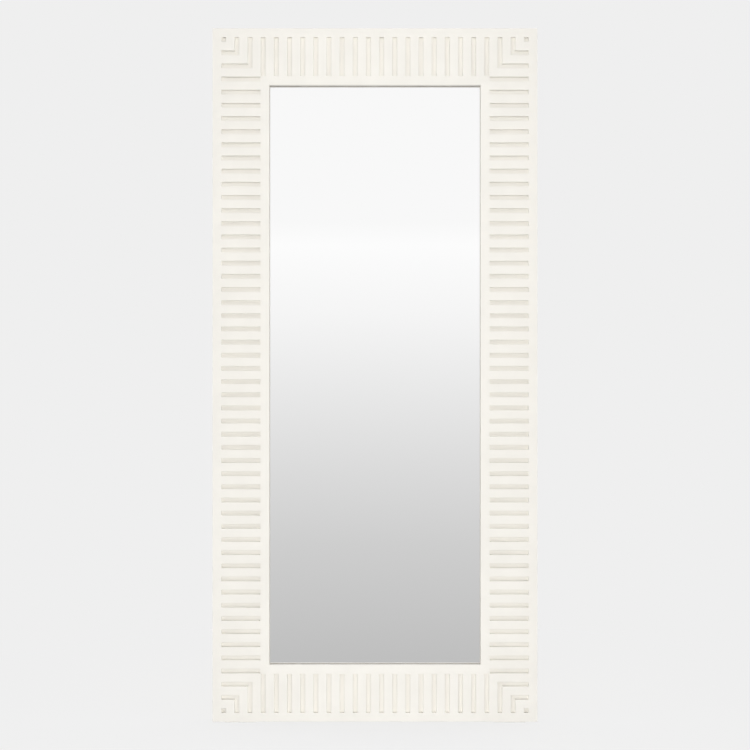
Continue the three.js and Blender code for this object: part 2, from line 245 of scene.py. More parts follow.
def makeTimber(name, kind, along):
    wood = timber[kind]
    material, tree = newMaterial(name)
    place = addNode(tree, "ShaderNodeTexCoord")
    # the grain is squeezed along the board's length, so its features come out long
    squeeze = [1.0, 1.0, 1.0]
    squeeze["xyz".index(along)] = 1 / wood["stretch"]
    grain = addNode(tree, "ShaderNodeMapping", {}, {
        "Vector": (place, "Object"), "Scale": squeeze,
        "Rotation": (0.0, math.radians(grainLook["slant"]), 0.0)})
    band = addNode(tree, "ShaderNodeTexNoise", {}, {
        "Vector": (grain, "Vector"), "Scale": 1 / wood["band"], "Detail": 4.0, "Distortion": 0.6})
    fibre = addNode(tree, "ShaderNodeTexNoise", {}, {
        "Vector": (grain, "Vector"), "Scale": 1 / wood["fibre"], "Detail": 3.0})
    mixed = addNode(tree, "ShaderNodeMix", {"data_type": "FLOAT"}, {
        "Factor": grainLook["fibreShare"], "A": (band, "Fac"), "B": (fibre, "Fac")})
    colour = setRamp(addNode(tree, "ShaderNodeValToRGB", {}, {"Fac": (mixed, "Result")}), [
        (grainLook["ramp"][0], hexColour(wood["dark"])), (grainLook["ramp"][1], hexColour(wood["pale"]))])
    shade = (colour, "Color")
    if wood["sprayed"]:
        low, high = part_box("back_stile_left")[0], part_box("back_stile_right")[1]
        middle = (low + high) / 2
        centred = addNode(tree, "ShaderNodeVectorMath", {"operation": "SUBTRACT"}, {
            0: (place, "Object"), 1: middle})
        away = addNode(tree, "ShaderNodeVectorMath", {"operation": "ABSOLUTE"}, {0: (centred, "Vector")})
        axes = addNode(tree, "ShaderNodeSeparateXYZ", {}, {"Vector": (away, "Vector")})
        fromSide = addNode(tree, "ShaderNodeMath", {"operation": "SUBTRACT"}, {
            0: high.x - middle.x, 1: (axes, "X")})
        fromEnd = addNode(tree, "ShaderNodeMath", {"operation": "SUBTRACT"}, {
            0: high.z - middle.z, 1: (axes, "Z")})
        nearest = addNode(tree, "ShaderNodeMath", {"operation": "MINIMUM"}, {
            0: (fromSide, "Value"), 1: (fromEnd, "Value")})
        ragged = addNode(tree, "ShaderNodeTexNoise", {}, {
            "Vector": (place, "Object"), "Scale": 1 / overspray["ragged"], "Detail": 5.0})
        reach = addNode(tree, "ShaderNodeMath", {"operation": "MULTIPLY_ADD"}, {
            0: (ragged, "Fac"), 1: -overspray["wander"], 2: (nearest, "Value")})
        mask = addNode(tree, "ShaderNodeMapRange", {}, {
            "Value": (reach, "Value"), "From Min": overspray["solid"], "From Max": overspray["clear"],
            "To Min": 1.0, "To Max": 0.0})
        sprayed = addNode(tree, "ShaderNodeMix", {"data_type": "RGBA"}, {
            "Factor": (mask, "Result"), 6: (colour, "Color"), 7: hexColour(lacquer["deep"])})
        shade = (sprayed, 2)
    bump = addNode(tree, "ShaderNodeBump", {}, {
        "Height": (fibre, "Fac"), "Strength": 1.0, "Distance": grainLook["height"]})
    shader = addNode(tree, "ShaderNodeBsdfPrincipled", {}, {
        "Base Color": shade, "Roughness": wood["rough"], "Normal": (bump, "Normal"), "IOR": grainLook["ior"]})
    addNode(tree, "ShaderNodeOutputMaterial", {}, {"Surface": (shader, "BSDF")})
    return material


# float glass silvered at the back: a clear neutral mirror whose sheen softens in faint smudges
silvering = {"colour": "f7f7f7", "smudge": 120 * mm, "smudged": (0.4, 0.75), "rough": (0.0, 0.012)}


def makeMirror(name):
    material, tree = newMaterial(name)
    place = addNode(tree, "ShaderNodeTexCoord")
    smudge = addNode(tree, "ShaderNodeTexNoise", {}, {
        "Vector": (place, "Object"), "Scale": 1 / silvering["smudge"], "Detail": 4.0})
    rough = addNode(tree, "ShaderNodeMapRange", {}, {
        "Value": (smudge, "Fac"), "From Min": silvering["smudged"][0], "From Max": silvering["smudged"][1],
        "To Min": silvering["rough"][0], "To Max": silvering["rough"][1]})
    shader = addNode(tree, "ShaderNodeBsdfPrincipled", {}, {
        "Base Color": hexColour(silvering["colour"]), "Metallic": 1.0, "Roughness": (rough, "Result")})
    addNode(tree, "ShaderNodeOutputMaterial", {}, {"Surface": (shader, "BSDF")})
    return material


# finishes of one body with a fine grain: two colours, a patch size, a grain size and its height
finishes = {
    # pressed steel, bright zinc plated: a cool grey metal with a soft, slightly clouded gloss
    "zinc plated steel": {"light": "cdd1d4", "dark": "c1c5c8", "patch": 32 * mm, "grain": 0.5 * mm,
                          "height": 0.004 * mm, "rough": (0.3, 0.38), "metallic": 1.0},
    # rubber from a plain mould: nearly black with a dull sheen
    "moulded black rubber": {"light": "2a2a2b", "dark": "1c1c1d", "patch": 12 * mm, "grain": 0.5 * mm,
                             "height": 0.03 * mm, "rough": (0.66, 0.82), "metallic": 0.0},
    # foam strip cut from a sheet: black and matte, pitted with small cells
    "closed cell black foam": {"light": "242425", "dark": "161617", "patch": 20 * mm, "grain": 0.6 * mm,
                               "height": 0.1 * mm, "rough": (0.85, 0.95), "metallic": 0.0},
    # rolled sheet cut into blocks: flat dark grey, nearly matte
    "calendered neoprene": {"light": "2e2e2e", "dark": "222222", "patch": 15 * mm, "grain": 0.4 * mm,
                            "height": 0.02 * mm, "rough": (0.74, 0.86), "metallic": 0.0},
    # blown film with glue behind: a blue grey skin with a faint gloss
    "polyethylene film": {"light": "8aa1b2", "dark": "7893a6", "patch": 80 * mm, "grain": 3 * mm,
                          "height": 0.02 * mm, "rough": (0.3, 0.5), "metallic": 0.0},
    # extruded foam sheet: white and matte with fine cells
    "white polyethylene foam": {"light": "ececea", "dark": "dededb", "patch": 30 * mm, "grain": 1.2 * mm,
                                "height": 0.12 * mm, "rough": (0.85, 0.95), "metallic": 0.0},
    # short felt bonded to rubber: pale warm grey with a low nap
    "grey felted rubber": {"light": "e9e7e2", "dark": "dad7d0", "patch": 6 * mm, "grain": 0.7 * mm,
                           "height": 0.12 * mm, "rough": (0.85, 0.95), "metallic": 0.0},
}


def makeFinish(kind):
    look = finishes[kind]
    material, tree = newMaterial(kind)
    place = addNode(tree, "ShaderNodeTexCoord")
    patch = addNode(tree, "ShaderNodeTexNoise", {}, {
        "Vector": (place, "Object"), "Scale": 1 / look["patch"], "Detail": 4.0})
    colour = setRamp(addNode(tree, "ShaderNodeValToRGB", {}, {"Fac": (patch, "Fac")}), [
        (noiseBand[0], hexColour(look["dark"])), (noiseBand[1], hexColour(look["light"]))])
    rough = addNode(tree, "ShaderNodeMapRange", {}, {
        "Value": (patch, "Fac"), "From Min": wideBand[0], "From Max": wideBand[1],
        "To Min": look["rough"][0], "To Max": look["rough"][1]})
    grain = addNode(tree, "ShaderNodeTexNoise", {}, {
        "Vector": (place, "Object"), "Scale": 1 / look["grain"], "Detail": 2.0})
    bump = addNode(tree, "ShaderNodeBump", {}, {
        "Height": (grain, "Fac"), "Strength": 1.0, "Distance": look["height"]})
    shader = addNode(tree, "ShaderNodeBsdfPrincipled", {}, {
        "Base Color": (colour, "Color"), "Metallic": look["metallic"],
        "Roughness": (rough, "Result"), "Normal": (bump, "Normal")})
    addNode(tree, "ShaderNodeOutputMaterial", {}, {"Surface": (shader, "BSDF")})
    return material


whiteLacquer = makeLacquer("satin lacquer on MDF")
sawnBoardAndShade = makeRawBoardAndShade("sawn MDF and painted shade")
poplarUpright = makeTimber("planed poplar upright", "poplar", "z")
poplarLevel = makeTimber("planed poplar level", "poplar", "x")
beechWood = makeTimber("planed beech", "beech", "x")
plywoodFace = makeTimber("sanded birch plywood", "birch plywood", "z")
mirrorFace = makeMirror("silvered float glass")
finished = {kind: makeFinish(kind) for kind in finishes}
zinc = finished["zinc plated steel"]
print("materials made")


# the ribbed face: one groove's worth of board, repeated along each member

ribbedFace = {"rib": 26 * mm, "groove": 12 * mm, "depth": 12 * mm, "edgeRound": 2 * mm,
              "rootRound": 0.7 * mm, "outerRound": 2 * mm, "sightRound": 0.8 * mm, "rearEase": 1 * mm,
              "arcSteps": 6, "sightSteps": 2, "arcFacet": 0.9 * mm, "mitreGap": 0.02 * mm, "shadeAngle": 30}


def quarterArc(centre, radius, start, steps):
    # points of a quarter circle, from the start angle on by a right angle
    points = []
    for step in range(steps + 1):
        angle = math.radians(start + 90 * step / steps)
        points.append((centre[0] + radius * math.cos(angle), centre[1] + radius * math.sin(angle)))
    return points


def grooveProfile(face):
    # (place along the member, depth) across one groove: arris, wall, root fillet, floor and back up
    half = face["rib"] / 2
    edge, root, depth = face["edgeRound"], face["rootRound"], face["depth"]
    arris = quarterArc((half - edge, edge), edge, 270, face["arcSteps"])
    fillet = quarterArc((half + root, depth - root), root, 180, face["arcSteps"] // 2)
    near = arris + [(x, 2 * (depth - root) - y) for x, y in fillet]
    whole = face["rib"] + face["groove"]
    return near + [(whole - x, y) for x, y in reversed(near)]


def makeCell(face, width, thickness):
    # one groove's worth of member: its section in x (across) and y (depth), the groove's profile along z
    bm = bmesh.new()
    whole = face["rib"] + face["groove"]
    across0, across1 = face["rib"], width - face["rib"]
    outer, sight = face["outerRound"], face["sightRound"]
    outerArc = quarterArc((outer, outer), outer, 180, face["arcSteps"])
    sightArc = quarterArc((width - sight, sight), sight, 270, face["sightSteps"])
    profile = grooveProfile(face)
    stops = [0.0, profile[0][0], profile[-1][0], whole]

    def strip(x0, y0, z0, x1, y1, z1, alongZ):
        # a face between two section points over a stretch of z, or between two profile points across x
        if alongZ:
            corners = [(x0, y0, z0), (x1, y1, z0), (x1, y1, z1), (x0, y0, z1)]
        else:
            corners = [(x0, y0, z0), (x1, y0, z0), (x1, y1, z1), (x0, y1, z1)]
        facet = bm.faces.new([bm.verts.new(c) for c in corners])
        facet.smooth = math.hypot(x1 - x0 if alongZ else z1 - z0, y1 - y0) < face["arcFacet"]

    left = [(0.0, thickness), *outerArc, (across0, 0.0)]
    rear = face["rearEase"]
    right = [(across1, 0.0), *sightArc, (width, thickness - rear), (width - rear, thickness)]
    for line in (left, right, [(width - rear, thickness), (0.0, thickness)]):
        for (x0, y0), (x1, y1) in zip(line, line[1:]):
            for z0, z1 in zip(stops, stops[1:]):
                strip(x0, y0, z0, x1, y1, z1, True)
    line = [(stops[0], 0.0), *profile, (stops[-1], 0.0)]
    for (z0, y0), (z1, y1) in zip(line, line[1:]):
        strip(across0, y0, z0, across1, y1, z1, False)
    # the groove's two square ends
    for x in (across0, across1):
        bm.faces.new([bm.verts.new((x, y, z)) for z, y in profile])
    bmesh.ops.remove_doubles(bm, verts=bm.verts, dist=samePoint)
    bmesh.ops.recalc_face_normals(bm, faces=bm.faces)
    return bm


def makeRepeatTree():
    # repeats the piece's own mesh along z, welds the copies and gives them a material
    tree = bpy.data.node_groups.new("repeat along the member", "GeometryNodeTree")
    side = tree.interface
    side.new_socket("Piece", in_out="INPUT", socket_type="NodeSocketGeometry")
    side.new_socket("Count", in_out="INPUT", socket_type="NodeSocketInt")
    side.new_socket("Pitch", in_out="INPUT", socket_type="NodeSocketFloat")
    side.new_socket("Weld", in_out="INPUT", socket_type="NodeSocketFloat")
    side.new_socket("Finish", in_out="INPUT", socket_type="NodeSocketMaterial")
    side.new_socket("Member", in_out="OUTPUT", socket_type="NodeSocketGeometry")
    given = addNode(tree, "NodeGroupInput")
    step = addNode(tree, "ShaderNodeCombineXYZ", {}, {"Z": (given, "Pitch")})
    line = addNode(tree, "GeometryNodeMeshLine", {"mode": "OFFSET"}, {
        "Count": (given, "Count"), "Offset": (step, "Vector")})
    single = addNode(tree, "GeometryNodeGeometryToInstance", {}, {"Geometry": (given, "Piece")})
    copies = addNode(tree, "GeometryNodeInstanceOnPoints", {}, {
        "Points": (line, "Mesh"), "Instance": (single, "Instances")})
    real = addNode(tree, "GeometryNodeRealizeInstances", {}, {"Geometry": (copies, "Instances")})
    weld = addNode(tree, "GeometryNodeMergeByDistance", {}, {
        "Geometry": (real, "Geometry"), "Distance": (given, "Weld")})
    coat = addNode(tree, "GeometryNodeSetMaterial", {}, {
        "Geometry": (weld, "Geometry"), "Material": (given, "Finish")})
    addNode(tree, "NodeGroupOutput", {}, {"Member": (coat, "Geometry")})
    return tree


def useTree(obj, tree, values):
    # a modifier input is set by its socket's identifier
    modifier = obj.modifiers.new(tree.name, "NODES")
    modifier.node_group = tree
    for item in tree.interface.items_tree:
        if item.in_out == "INPUT" and item.name in values:
            modifier[item.identifier] = values[item.name]


repeatTree = makeRepeatTree()
stileLow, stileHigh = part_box("face_stile_left")
memberWidth = stileHigh.x - stileLow.x
boardThickness = stileHigh.y - stileLow.y
frontY = stileLow.y
# the back frame has the same outline as the face
wholeLow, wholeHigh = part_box("back_stile_left")[0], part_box("back_stile_right")[1]
middleX = (wholeLow.x + wholeHigh.x) / 2
middleZ = (wholeLow.z + wholeHigh.z) / 2


def makeMember(name, length, place, turn):
    face = ribbedFace
    member = objectFromBmesh(name, makeCell(face, memberWidth, boardThickness), whiteLacquer)
    pitch = face["rib"] + face["groove"]
    count = round((length - face["rib"]) / pitch)
    useTree(member, repeatTree, {"Count": count, "Pitch": pitch, "Weld": weldGap, "Finish": whiteLacquer})
    plainMesh(member)
    bm = bmesh.new()
    bm.from_mesh(member.data)
    # the half ribs at both ends grow into whole plain borders, and the strip is centred on its length
    run = count * pitch
    for vert in bm.verts:
        if vert.co.z < weldGap:
            vert.co.z -= face["rib"] / 2
        elif vert.co.z > run - weldGap:
            vert.co.z += face["rib"] / 2
        vert.co.z -= run / 2
    for end in (-1, 1):
        # the mitre runs from the outer corner inwards
        bmesh.ops.bisect_plane(
            bm, geom=[*bm.verts, *bm.edges, *bm.faces], dist=samePoint,
            plane_co=(0, 0, end * (length / 2 - face["mitreGap"])),
            plane_no=Vector((1, 0, end)).normalized(), clear_outer=True)
        openEdges = [e for e in bm.edges if e.is_boundary and all(v.co.z * end > 0 for v in e.verts)]
        bmesh.ops.edgeloop_fill(bm, edges=openEdges)
    bmesh.ops.remove_doubles(bm, verts=bm.verts, dist=samePoint)
    bmesh.ops.recalc_face_normals(bm, faces=bm.faces)
    bm.transform(Matrix.Translation(place) @ Matrix.Rotation(turn, 4, "Y"))
    bm.to_mesh(member.data)
    bm.free()
    member.data.set_sharp_from_angle(angle=math.radians(face["shadeAngle"]))
    # the spray stops at the sight edge, so the rear of the board and its eased edge are bare
    # the bare board's brown is also painted shade, darkening the thin line along the glass edge seen in the
    # mirror
    member.data.materials.append(sawnBoardAndShade)
    for flat in member.data.polygons:
        if flat.normal.y > 0.5:
            flat.material_index = 1
    finishPiece(member, "root", "white_lacquered_mdf", name.replace("ribbed_", "face_"))


width, height = wholeHigh.x - wholeLow.x, wholeHigh.z - wholeLow.z
makeMember("ribbed_stile_left", height, (wholeLow.x, frontY, middleZ), 0)
makeMember("ribbed_stile_right", height, (wholeHigh.x, frontY, middleZ), math.pi)
makeMember("ribbed_rail_bottom", width, (middleX, frontY, wholeLow.z), -math.pi / 2)
makeMember("ribbed_rail_top", width, (middleX, frontY, wholeHigh.z), math.pi / 2)
print("ribbed face made")


# glass, back frame and packing keep their CAD shape, with eased arrises

easing = {"board": 1.2 * mm, "sheet": 0.4 * mm, "steel": 0.35 * mm, "pad": 0.5 * mm, "small": 0.3 * mm,
          "tape": 0.2 * mm, "film": 0.1 * mm}
# faces up to this broad shade smoothly: arrises everywhere, and the facets of the strap's rolled knuckle
smoothUpTo = {"arris": 1.3 * mm, "knuckle": 2.5 * mm}


def easeNode(node, name, width, segments, material, slot, widest=smoothUpTo["arris"]):
    piece = softenedCopy(node, name, width, segments, material, widest)
    finishPiece(piece, frame["nodes"][node]["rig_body"], slot, node)


for side in sideNames:
    easeNode(f"back_stile_{side}", f"poplar_stile_{side}", easing["board"], 2, poplarUpright, "poplar")
for end in ("bottom", "top"):
    easeNode(f"back_rail_{end}", f"poplar_rail_{end}", easing["board"], 2, poplarLevel, "poplar")
easeNode("backing_board", "plywood_back", easing["sheet"], 2, plywoodFace, "plywood")
easeNode("mirror_glass", "silvered_pane", easing["sheet"], 2, mirrorFace, "silvered_glass")
for place in ("left", "right", "bottom", "top"):
    easeNode(f"glazing_tape_{place}", f"foam_tape_{place}", easing["tape"], 1,
             finished["closed cell black foam"], "black_foam_tape")
easeNode("safety_film", "backing_film", easing["film"], 1, finished["polyethylene film"], "safety_film")
easeNode("foam_sheet", "foam_layer", easing["small"], 1, finished["white polyethylene foam"], "white_foam")
for corner in cornerNames:
    easeNode(f"mitre_key_{corner}", f"beech_key_{corner}", easing["small"], 1, beechWood, "beech_key")
    easeNode(f"corner_plate_{corner}", f"steel_corner_{corner}", easing["steel"], 2, zinc,
             "zinc_plated_steel")
for node in [n for n in frame["nodes"] if "_block_" in n]:
    easeNode(node, "rubber_" + node, easing["small"], 1, finished["calendered neoprene"], "neoprene")
for side in sideNames:
    easeNode(f"foot_pad_{side}", f"felted_foot_{side}", easing["pad"], 2,
             finished["grey felted rubber"], "grey_rubber")
    easeNode(f"hanger_strap_{side}", f"steel_strap_{side}", easing["small"], 2, zinc, "zinc_plated_steel",
             smoothUpTo["knuckle"])
for node in [n for n in frame["nodes"] if n.startswith("turn_button_")]:
    easeNode(node, "steel_" + node, easing["steel"], 2, zinc, "zinc_plated_steel")
print("boards, sheets and steel made")


# wall bumpers: turned shapes with a ring groove round the side

bumperShape = {"base": 12.5 * mm, "baseEase": 0.4 * mm, "top": 10.5 * mm, "lip": 1.2 * mm, "lipSteps": 4,
               "crownInset": 1.92 * mm, "waist": 0.45, "ringDepth": 0.5 * mm, "ringWidth": 1.2 * mm,
               "sides": 48, "shadeAngle": 35, "widest": 1.6 * mm}


def latheAlongY(name, profile, sides, material):
    # profile is (radius, y), from the axis round to the axis again
    bm = bmesh.new()
    rings = []
    for radius, y in profile:
        if radius < samePoint:
            rings.append([bm.verts.new((0, y, 0))])
            continue
        spokes = [2 * math.pi * k / sides for k in range(sides)]
        rings.append([bm.verts.new((radius * math.cos(a), y, radius * math.sin(a))) for a in spokes])
    for lower, upper in zip(rings, rings[1:]):
        for k in range(sides):
            corners = [lower[k % len(lower)], lower[(k + 1) % len(lower)],
                       upper[(k + 1) % len(upper)], upper[k % len(upper)]]
            unique = list(dict.fromkeys(corners))
            if len(unique) > 2:
                bm.faces.new(unique)
    bmesh.ops.recalc_face_normals(bm, faces=bm.faces)
    return objectFromBmesh(name, bm, material)


def bumperProfile(shape, tall):
    base, ease, lip, waist = shape["base"], shape["baseEase"], shape["lip"], tall * shape["waist"]
    slope = (base - shape["top"]) / (tall - lip)
    groove = shape["ringWidth"] / 2
    rim = quarterArc((shape["top"] - lip, tall - lip), lip, 0, shape["lipSteps"])
    return [(0, 0), (base - ease, 0), (base, ease),
            (base - slope * (waist - groove), waist - groove),
            (base - slope * waist - shape["ringDepth"], waist),
            (base - slope * (waist + groove), waist + groove), *rim,
            (shape["top"] - shape["crownInset"], tall), (0, tall)]


for corner in cornerNames:
    low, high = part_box(f"bumper_{corner}")
    tall = high.y - low.y
    bumper = latheAlongY(f"rubber_bumper_{corner}", bumperProfile(bumperShape, tall),
                         bumperShape["sides"], finished["moulded black rubber"])
    bumper.data.transform(Matrix.Translation(((low.x + high.x) / 2, low.y, (low.z + high.z) / 2)))
    smoothNarrow(bumper, bumperShape["shadeAngle"], bumperShape["widest"])
    finishPiece(bumper, "root", "black_rubber", f"bumper_{corner}")
print("bumpers made")


# D-rings: round wire bent to a D, closed through the strap's knuckle

dRing = {"wire": 1.75 * mm, "leg": 10 * mm, "tightest": 1.02, "bendSteps": 5, "bowSteps": 24,
         "wireSides": 16, "shadeAngle": 60, "widest": 5 * mm}


def ringPath(shape, halfWidth):
    # the D's centreline in x and z, from the bar's middle round and back, with eased upper corners
    bend = shape["wire"] * shape["tightest"]
    points = []
    for x, z in quarterArc((halfWidth - bend, -bend), bend, 90, shape["bendSteps"]):
        points.append((2 * (halfWidth - bend) - x, z))
    for step in range(shape["bowSteps"] + 1):
        angle = -math.pi * step / shape["bowSteps"]
        points.append((halfWidth * math.cos(angle), -shape["leg"] + halfWidth * math.sin(angle)))
    for x, z in quarterArc((-(halfWidth - bend), -bend), bend, 180, shape["bendSteps"]):
        points.append((x, -2 * bend - z if z < -bend else z))
    return points


def sweepClosed(name, points, radius, sides, material):
    bm = bmesh.new()
    rings = []
    count = len(points)
    for i in range(count):
        x0, z0 = points[i - 1]
        x1, z1 = points[(i + 1) % count]
        ahead = Vector((x1 - x0, 0, z1 - z0)).normalized()
        out = Vector((-ahead.z, 0, ahead.x))
        centre = Vector((points[i][0], 0, points[i][1]))
        ring = []
        for k in range(sides):
            angle = 2 * math.pi * k / sides
            offset = out * math.cos(angle) + Vector((0, 1, 0)) * math.sin(angle)
            ring.append(bm.verts.new(centre + radius * offset))
        rings.append(ring)
    for i in range(count):
        here, there = rings[i], rings[(i + 1) % count]
        for k in range(sides):
            bm.faces.new([here[k], here[(k + 1) % sides], there[(k + 1) % sides], there[k]])
    bmesh.ops.recalc_face_normals(bm, faces=bm.faces)
    return objectFromBmesh(name, bm, material)


for side in sideNames:
    low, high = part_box(f"hanger_ring_{side}")
    halfWidth = (high.x - low.x) / 2 - dRing["wire"]
    ring = sweepClosed(f"wire_ring_{side}", ringPath(dRing, halfWidth), dRing["wire"],
                       dRing["wireSides"], zinc)
    ring.data.transform(Matrix.Translation(((low.x + high.x) / 2, (low.y + high.y) / 2,
                                            high.z - dRing["wire"])))
    smoothNarrow(ring, dRing["shadeAngle"], dRing["widest"])
    finishPiece(ring, f"ring_{side}", "zinc_plated_steel", f"hanger_ring_{side}")
print("rings made")


# wood screws: one pan head with a cross recess, placed at every screw by Geometry Nodes

woodScrew = {"head": 4 * mm, "headHeight": 2.4 * mm, "rim": 0.35, "domeSteps": 6, "shank": 1.9 * mm,
             "core": 1.35 * mm, "neck": 1.5 * mm, "underHead": 0.3 * mm, "thread": 1.5 * mm, "flank": 0.4,
             "tip": 4 * mm, "sides": 24, "shadeAngle": 35, "widest": 5 * mm}
# the recess is a cross that tapers: each arm keeps this share of its reach and of its width at the floor
crossRecess = {"across": 4.4 * mm, "slot": 0.9 * mm, "depth": 1.5 * mm, "above": 0.5 * mm,
               "floorReach": 0.35, "floorWidth": 0.7}


def crossOutline(arm, half):
    # the twelve corners of an upright cross, one arm after another
    points = []
    for across, up in ((1, 0), (0, 1), (-1, 0), (0, -1)):
        points += [(x * across - z * up, x * up + z * across)
                   for x, z in ((arm, -half), (arm, half), (half, half))]
    return points


def makeScrew(name, length):
    shape, recess = woodScrew, crossRecess
    profile = [(0, -length)]
    turns = int((length - shape["neck"]) / shape["thread"])
    for turn in range(turns):
        y = -length + (turn + 0.5) * shape["thread"]
        room = min(1.0, (y + length) / shape["tip"])
        profile.append((shape["core"] * room, y))
        profile.append((shape["shank"] * room, y + shape["flank"] * shape["thread"]))
    rim, steps = shape["rim"], shape["domeSteps"]
    profile += [(shape["core"], -shape["underHead"]), (shape["shank"], 0), (shape["head"], 0),
                (shape["head"], rim * shape["headHeight"])]
    for step in range(1, steps):
        angle = math.pi / 2 * step / steps
        profile.append((shape["head"] * math.cos(angle),
                        shape["headHeight"] * (rim + (1 - rim) * math.sin(angle))))
    profile.append((0, shape["headHeight"]))
    screw = latheAlongY(name, profile, shape["sides"], zinc)
    bm = bmesh.new()
    rings = []
    top = shape["headHeight"]
    for y, reach, wide in ((top + recess["above"], 1.0, 1.0),
                           (top - recess["depth"], recess["floorReach"], recess["floorWidth"])):
        outline = crossOutline(reach * recess["across"] / 2, wide * recess["slot"] / 2)
        rings.append([bm.verts.new((x, y, z)) for x, z in outline])
    mouth, floor = rings
    for k in range(len(mouth)):
        bm.faces.new([mouth[k - 1], mouth[k], floor[k], floor[k - 1]])
    bm.faces.new(mouth)
    bm.faces.new(floor)
    bmesh.ops.recalc_face_normals(bm, faces=bm.faces)
    cutter = objectFromBmesh(name + "_recess", bm)
    cross = screw.modifiers.new("recess", "BOOLEAN")
    cross.object = cutter
    cross.operation = "DIFFERENCE"
    cross.solver = "EXACT"
    plainMesh(screw)
    bpy.data.objects.remove(cutter)
    smoothNarrow(screw, shape["shadeAngle"], shape["widest"])
    return screw


def makeScrewTree():
    # a copy of one screw at each point, each turned about its own length
    tree = bpy.data.node_groups.new("screws at points", "GeometryNodeTree")
    side = tree.interface
    side.new_socket("Points", in_out="INPUT", socket_type="NodeSocketGeometry")
    side.new_socket("Screw", in_out="INPUT", socket_type="NodeSocketObject")
    side.new_socket("Seed", in_out="INPUT", socket_type="NodeSocketInt")
    side.new_socket("Finish", in_out="INPUT", socket_type="NodeSocketMaterial")
    side.new_socket("Screws", in_out="OUTPUT", socket_type="NodeSocketGeometry")
    given = addNode(tree, "NodeGroupInput")
    shape = addNode(tree, "GeometryNodeObjectInfo", {}, {"Object": (given, "Screw")})
    turn = addNode(tree, "FunctionNodeRandomValue", {"data_type": "FLOAT_VECTOR"}, {
        0: (0.0, 0.0, 0.0), 1: (0.0, 2 * math.pi, 0.0), "Seed": (given, "Seed")})
    copies = addNode(tree, "GeometryNodeInstanceOnPoints", {}, {
        "Points": (given, "Points"), "Instance": (shape, "Geometry"), "Rotation": (turn, 0)})
    real = addNode(tree, "GeometryNodeRealizeInstances", {}, {"Geometry": (copies, "Instances")})
    coat = addNode(tree, "GeometryNodeSetMaterial", {}, {
        "Geometry": (real, "Geometry"), "Material": (given, "Finish")})
    addNode(tree, "NodeGroupOutput", {}, {"Screws": (coat, "Geometry")})
    return tree


screwTree = makeScrewTree()


def placeScrews(name, points, length, seed, nodes):
    template = makeScrew(name + "_pattern", length)
    bm = bmesh.new()
    for point in points:
        bm.verts.new(point)
    screws = objectFromBmesh(name, bm)
    useTree(screws, screwTree, {"Screw": template, "Seed": seed, "Finish": zinc})
    plainMesh(screws)
    bpy.data.objects.remove(template)
    finishPiece(screws, "root", "zinc_plated_steel", *nodes)


def screwSeats(prefix, length):
    # where each CAD screw's head sits, from its own box
    nodes = sorted(n for n in frame["nodes"] if n.startswith(prefix))
    seats = []
    for node in nodes:
        low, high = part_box(node)
        seats.append(((low.x + high.x) / 2, low.y + length, (low.z + high.z) / 2))
    return nodes, seats


# length and seed: each set of screws stops at its own turns
screwSets = {"button": (14 * mm, 3), "hanger": (16 * mm, 5), "corner_plate": (14 * mm, 8)}
for kind in ("button", "hanger"):
    length, seed = screwSets[kind]
    nodes, seats = screwSeats(f"{kind}_screw_", length)
    placeScrews(f"{kind}_screws", seats, length, seed, nodes)

# the CAD has no screws in the corner plates, so their places come from the plates
cornerPlate = {"width": 22 * mm, "holes": (14 * mm, 64 * mm), "gap": 0.25 * mm}
plateSeats = []
for corner in cornerNames:
    low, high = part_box(f"corner_plate_{corner}")
    sideways = 1 if "left" in corner else -1
    upward = 1 if "bottom" in corner else -1
    cornerX = low.x if sideways > 0 else high.x
    cornerZ = low.z if upward > 0 else high.z
    leg, centre = high.x - low.x, cornerPlate["width"] / 2
    seatY = high.y + cornerPlate["gap"]
    for inset in cornerPlate["holes"]:
        for across, up in ((leg - inset, centre), (centre, leg - inset)):
            plateSeats.append((cornerX + sideways * across, seatY, cornerZ + upward * up))
placeScrews("corner_plate_screws", plateSeats, *screwSets["corner_plate"], [])
print("screws placed")


# studio: an even grey surround, a wall for the mirror to show, two softboxes and a tall strip in front

# wallLevels: height of the direction, grey from 0 to 255; domeLevels: front to back, strength of the light
studio = {"surround": "efefef", "distance": 4.0, "framed": 2.1645, "sensor": 36.0, "farthest": 50,
          "mirrorReturn": 0.93, "wallSpan": 0.25,
          "domeLevels": [(-1.0, 0.16), (-0.65, 0.2), (-0.25, 1.05), (-0.05, 1.5), (0.05, 1.8), (0.5, 0.85),
                         (1.0, 0.8)],
          "wallLevels": [(-0.25, 184), (-0.2, 191), (-0.12, 206), (-0.067, 219), (0.0, 235), (0.045, 245),
                         (0.08, 250), (0.093, 252), (0.11, 248), (0.25, 248)]}


def greyLevel(level):
    # an sRGB grey from 0 to 255 as a light level
    return hexColour(f"{level:02x}" * 3)[0]


